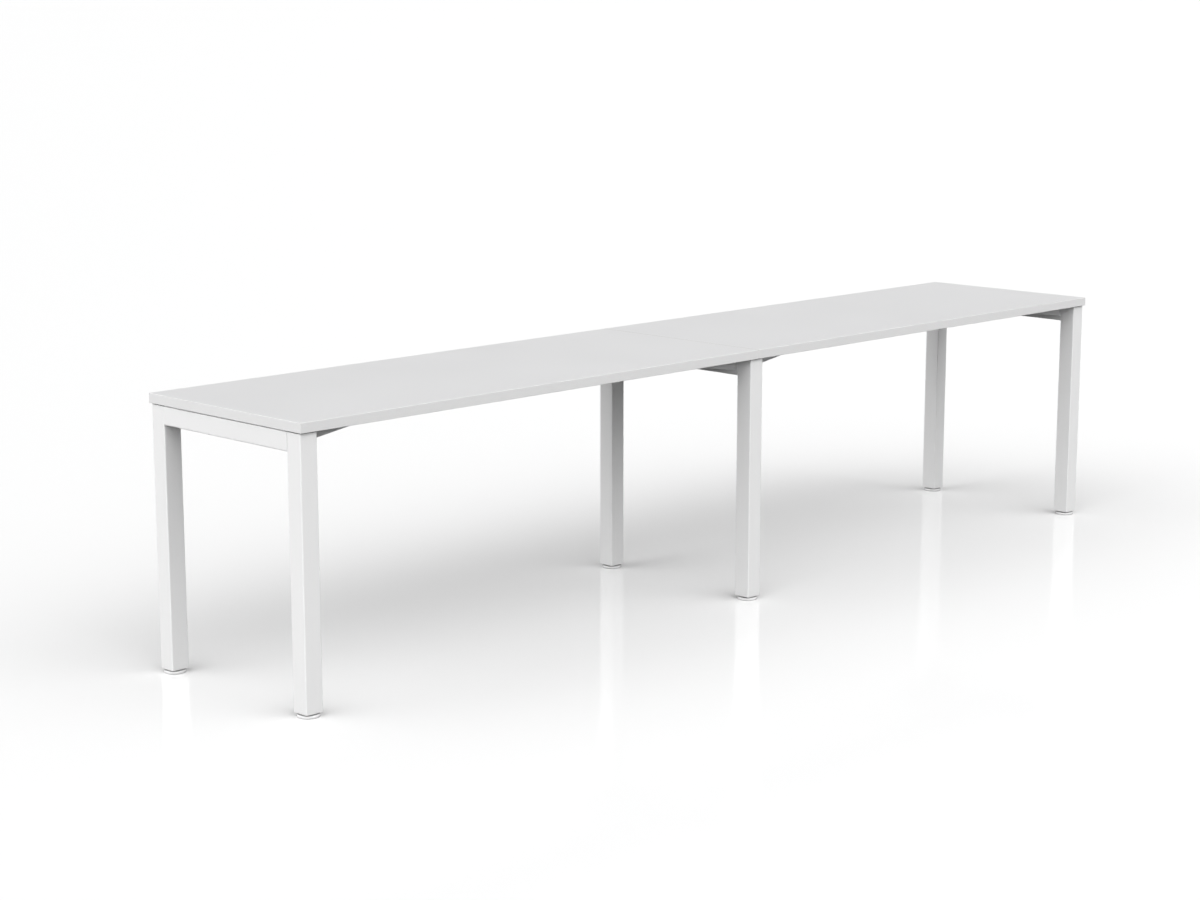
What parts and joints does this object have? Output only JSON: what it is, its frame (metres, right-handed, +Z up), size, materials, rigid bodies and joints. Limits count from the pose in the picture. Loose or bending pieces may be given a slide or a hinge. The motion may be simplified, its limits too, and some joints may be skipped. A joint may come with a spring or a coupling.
{
  "type": "two-person desk",
  "caption": "Long straight office desk: paired worktops meet over a shared leg frame of square tube, on tapered brackets and screw-in levelling glides.",
  "frame": {"origin": "on the floor under the middle of the desk", "axes": "+X along the length to the right as seen from the front, -Y towards the front edges, +Z up"},
  "size_m": [3.2, 0.6, 0.7125],
  "materials": {
    "worktop_board": "melamine-faced board, pale grey-white, fine matt texture",
    "edging_band": "plastic edging in the worktop's colour",
    "frame_paint": "white powder coat, satin",
    "bracket_paint": "white powder coat, satin",
    "foot_plastic": "white moulded nylon",
    "plug_plastic": "dark grey moulded plastic",
    "zinc_steel": "bright zinc plate"
  },
  "bodies": {
    "desk": {"edging_left_back": "edging_band", "edging_left_end": "edging_band", "edging_left_front": "edging_band", "edging_left_seam": "edging_band", "edging_right_back": "edging_band", "edging_right_end": "edging_band", "edging_right_front": "edging_band", "edging_right_seam": "edging_band", "end_plate_left_inner": "frame_paint", "end_plate_left_outer": "frame_paint", "end_plate_right_inner": "frame_paint", "end_plate_right_outer": "frame_paint", "frame_bolts": "zinc_steel", "insert_nuts": "zinc_steel", "leg_caps": "plug_plastic", "leg_insert_left_back": "plug_plastic", "leg_insert_left_front": "plug_plastic", "leg_insert_middle_back": "plug_plastic", "leg_insert_middle_front": "plug_plastic", "leg_insert_right_back": "plug_plastic", "leg_insert_right_front": "plug_plastic", "leg_left_back": "frame_paint", "leg_left_front": "frame_paint", "leg_middle_back": "frame_paint", "leg_middle_front": "frame_paint", "leg_right_back": "frame_paint", "leg_right_front": "frame_paint", "rail_left": "frame_paint", "rail_middle": "frame_paint", "rail_right": "frame_paint", "rivet_nuts": "zinc_steel", "stretcher_left": "frame_paint", "stretcher_right": "frame_paint", "wing_left_inner_back": "bracket_paint", "wing_left_inner_front": "bracket_paint", "wing_left_outer_back": "bracket_paint", "wing_left_outer_front": "bracket_paint", "wing_right_inner_back": "bracket_paint", "wing_right_inner_front": "bracket_paint", "wing_right_outer_back": "bracket_paint", "wing_right_outer_front": "bracket_paint", "worktop_left": "worktop_board", "worktop_right": "worktop_board", "worktop_screws": "zinc_steel"},
    "foot_left_front": {"glide_foot_left_front": "foot_plastic"},
    "stud_left_front": {"glide_stud_left_front": "zinc_steel"},
    "foot_left_back": {"glide_foot_left_back": "foot_plastic"},
    "stud_left_back": {"glide_stud_left_back": "zinc_steel"},
    "foot_middle_front": {"glide_foot_middle_front": "foot_plastic"},
    "stud_middle_front": {"glide_stud_middle_front": "zinc_steel"},
    "foot_middle_back": {"glide_foot_middle_back": "foot_plastic"},
    "stud_middle_back": {"glide_stud_middle_back": "zinc_steel"},
    "foot_right_front": {"glide_foot_right_front": "foot_plastic"},
    "stud_right_front": {"glide_stud_right_front": "zinc_steel"},
    "foot_right_back": {"glide_foot_right_back": "foot_plastic"},
    "stud_right_back": {"glide_stud_right_back": "zinc_steel"}
  },
  "joints": [
    {"name": "foot_slide_left_front", "type": "slide", "parent": "desk", "child": "foot_left_front", "axis": [0, 0, -1], "range_m": [0, 0.015]},
    {"name": "stud_turn_left_front", "type": "hinge", "parent": "foot_left_front", "child": "stud_left_front", "pos_m": [-1.572, -0.268, 0.02], "axis": [0, 0, -1], "range_deg": [0, 3600]},
    {"name": "foot_slide_left_back", "type": "slide", "parent": "desk", "child": "foot_left_back", "axis": [0, 0, -1], "range_m": [0, 0.015]},
    {"name": "stud_turn_left_back", "type": "hinge", "parent": "foot_left_back", "child": "stud_left_back", "pos_m": [-1.572, 0.268, 0.02], "axis": [0, 0, -1], "range_deg": [0, 3600]},
    {"name": "foot_slide_middle_front", "type": "slide", "parent": "desk", "child": "foot_middle_front", "axis": [0, 0, -1], "range_m": [0, 0.015]},
    {"name": "stud_turn_middle_front", "type": "hinge", "parent": "foot_middle_front", "child": "stud_middle_front", "pos_m": [0, -0.268, 0.02], "axis": [0, 0, -1], "range_deg": [0, 3600]},
    {"name": "foot_slide_middle_back", "type": "slide", "parent": "desk", "child": "foot_middle_back", "axis": [0, 0, -1], "range_m": [0, 0.015]},
    {"name": "stud_turn_middle_back", "type": "hinge", "parent": "foot_middle_back", "child": "stud_middle_back", "pos_m": [0, 0.268, 0.02], "axis": [0, 0, -1], "range_deg": [0, 3600]},
    {"name": "foot_slide_right_front", "type": "slide", "parent": "desk", "child": "foot_right_front", "axis": [0, 0, -1], "range_m": [0, 0.015]},
    {"name": "stud_turn_right_front", "type": "hinge", "parent": "foot_right_front", "child": "stud_right_front", "pos_m": [1.572, -0.268, 0.02], "axis": [0, 0, -1], "range_deg": [0, 3600]},
    {"name": "foot_slide_right_back", "type": "slide", "parent": "desk", "child": "foot_right_back", "axis": [0, 0, -1], "range_m": [0, 0.015]},
    {"name": "stud_turn_right_back", "type": "hinge", "parent": "foot_right_back", "child": "stud_right_back", "pos_m": [1.572, 0.268, 0.02], "axis": [0, 0, -1], "range_deg": [0, 3600]}
  ],
  "couplings": [
    {"joint": "stud_turn_left_front", "follows": "foot_slide_left_front", "rad_per_m": 4188.8},
    {"joint": "stud_turn_left_back", "follows": "foot_slide_left_back", "rad_per_m": 4188.8},
    {"joint": "stud_turn_middle_front", "follows": "foot_slide_middle_front", "rad_per_m": 4188.8},
    {"joint": "stud_turn_middle_back", "follows": "foot_slide_middle_back", "rad_per_m": 4188.8},
    {"joint": "stud_turn_right_front", "follows": "foot_slide_right_front", "rad_per_m": 4188.8},
    {"joint": "stud_turn_right_back", "follows": "foot_slide_right_back", "rad_per_m": 4188.8}
  ]
}
